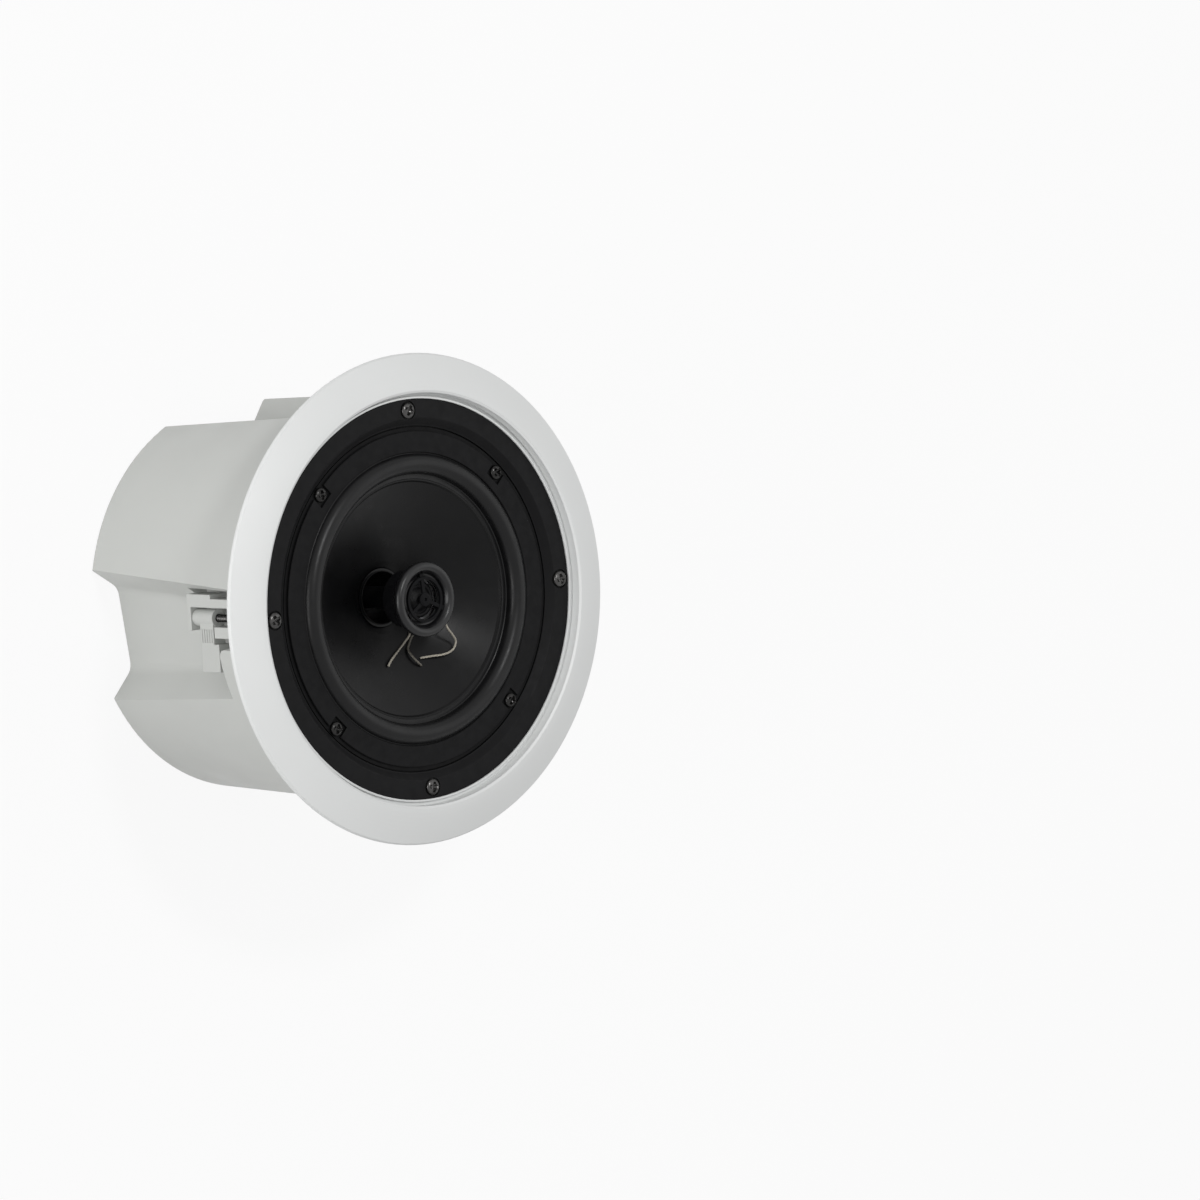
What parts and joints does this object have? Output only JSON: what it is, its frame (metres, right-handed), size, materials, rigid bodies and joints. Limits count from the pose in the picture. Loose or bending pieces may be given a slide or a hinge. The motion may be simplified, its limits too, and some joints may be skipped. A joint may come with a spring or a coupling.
{
  "type": "in-ceiling loudspeaker",
  "caption": "Recessed two-way coaxial ceiling loudspeaker: white flange and moulded back can, black woofer with a tweeter on a centre post, grille off.",
  "frame": {"origin": "centre of the can's closed end, at the plane it stands on", "axes": "+Z along the speaker axis from the can's closed end towards the listener; +X through the first clamp screw, so the clamps stand at every quarter turn from it"},
  "size_m": [0.24, 0.24, 0.1408],
  "materials": {
    "white_abs": "moulded, fine grain, satin",
    "black_abs": "moulded, fine grain, semi-matte",
    "black_frame": "black powder coat",
    "black_rubber": "smooth, semi-matte",
    "cone_black": "moulded polypropylene, semi-matte",
    "zinc_steel": "zinc plated, dull",
    "black_zinc": "black zinc plated, satin",
    "soft_iron": "turned, zinc plated",
    "ferrite": "fired ceramic, matte",
    "black_post": "turned, black anodised",
    "copper": "enamelled wire winding",
    "braid": "tinned copper braid",
    "spider_cloth": "resin-dipped woven cotton",
    "former_black": "black glass-fibre former, satin",
    "phenolic": "pressed board, matte",
    "dome_silk": "coated silk, satin",
    "lamination": "varnished laminations",
    "winding_tape": "polyester tape, satin",
    "board_green": "solder-masked board, satin",
    "cap_sleeve": "shrink sleeve, satin",
    "ivory_nylon": "moulded nylon, satin",
    "grey_foam": "open-cell foam, matte"
  },
  "bodies": {
    "housing": {"back_can": "white_abs", "bezel_flange": "white_abs", "baffle_ring": "black_abs", "can_screws": "zinc_steel", "cable_grommet": "black_rubber", "driver_frame": "black_frame", "driver_gasket": "black_rubber", "driver_screws": "black_zinc", "top_plate": "soft_iron", "magnet": "ferrite", "pole_yoke": "soft_iron", "terminal_strip": "phenolic", "tweeter_post": "black_post", "tweeter_cup": "black_abs", "tweeter_yoke": "soft_iron", "tweeter_magnet": "zinc_steel", "tweeter_plate": "soft_iron", "tweeter_bezel": "black_abs", "dome_guard": "black_abs", "transformer_core": "lamination", "transformer_winding": "winding_tape", "transformer_bracket": "zinc_steel", "crossover_board": "board_green", "crossover_capacitor": "cap_sleeve", "crossover_coil": "copper", "input_terminal": "ivory_nylon", "inner_screws": "zinc_steel", "acoustic_foam": "grey_foam"},
    "cone_assembly": {"surround": "black_rubber", "cone": "cone_black", "spider": "spider_cloth", "coil_former": "former_black", "voice_coil": "copper", "coil_lead_1": "braid", "coil_lead_2": "braid", "tinsel_lead_1": "braid", "tinsel_lead_2": "braid", "tweeter_lead": "braid"},
    "tweeter_diaphragm": {"tweeter_dome": "dome_silk", "tweeter_coil": "copper"},
    "clamp_screw_1_body": {"clamp_screw_1": "black_zinc"},
    "clamp_dog_1_body": {"clamp_dog_1": "white_abs"},
    "clamp_screw_2_body": {"clamp_screw_2": "black_zinc"},
    "clamp_dog_2_body": {"clamp_dog_2": "white_abs"},
    "clamp_screw_3_body": {"clamp_screw_3": "black_zinc"},
    "clamp_dog_3_body": {"clamp_dog_3": "white_abs"},
    "clamp_screw_4_body": {"clamp_screw_4": "black_zinc"},
    "clamp_dog_4_body": {"clamp_dog_4": "white_abs"}
  },
  "joints": [
    {"name": "cone_travel", "type": "slide", "parent": "housing", "child": "cone_assembly", "axis": [0, 0, 1], "range_m": [-0.003, 0.003], "stiffness_N_per_m": 2000, "deforming": ["surround", "spider", "tinsel_lead_1", "tinsel_lead_2", "tweeter_lead"]},
    {"name": "tweeter_dome_travel", "type": "slide", "parent": "housing", "child": "tweeter_diaphragm", "axis": [0, 0, 1], "range_m": [-0.0002, 0.0002], "stiffness_N_per_m": 800},
    {"name": "clamp_screw_1_spin", "type": "hinge", "parent": "housing", "child": "clamp_screw_1_body", "pos_m": [0.0923, 0, 0.11], "axis": [0, 0, 1], "continuous": true},
    {"name": "clamp_dog_1_swing", "type": "hinge", "parent": "housing", "child": "clamp_dog_1_body", "pos_m": [0.0923, 0, 0.085], "axis": [0, 0, 1], "range_deg": [-90, 0]},
    {"name": "clamp_screw_2_spin", "type": "hinge", "parent": "housing", "child": "clamp_screw_2_body", "pos_m": [0, 0.0923, 0.11], "axis": [0, 0, 1], "continuous": true},
    {"name": "clamp_dog_2_swing", "type": "hinge", "parent": "housing", "child": "clamp_dog_2_body", "pos_m": [0, 0.0923, 0.085], "axis": [0, 0, 1], "range_deg": [-90, 0]},
    {"name": "clamp_screw_3_spin", "type": "hinge", "parent": "housing", "child": "clamp_screw_3_body", "pos_m": [-0.0923, 0, 0.11], "axis": [0, 0, 1], "continuous": true},
    {"name": "clamp_dog_3_swing", "type": "hinge", "parent": "housing", "child": "clamp_dog_3_body", "pos_m": [-0.0923, 0, 0.085], "axis": [0, 0, 1], "range_deg": [-90, 0]},
    {"name": "clamp_screw_4_spin", "type": "hinge", "parent": "housing", "child": "clamp_screw_4_body", "pos_m": [0, -0.0923, 0.11], "axis": [0, 0, 1], "continuous": true},
    {"name": "clamp_dog_4_swing", "type": "hinge", "parent": "housing", "child": "clamp_dog_4_body", "pos_m": [0, -0.0923, 0.085], "axis": [0, 0, 1], "range_deg": [-90, 0]}
  ]
}
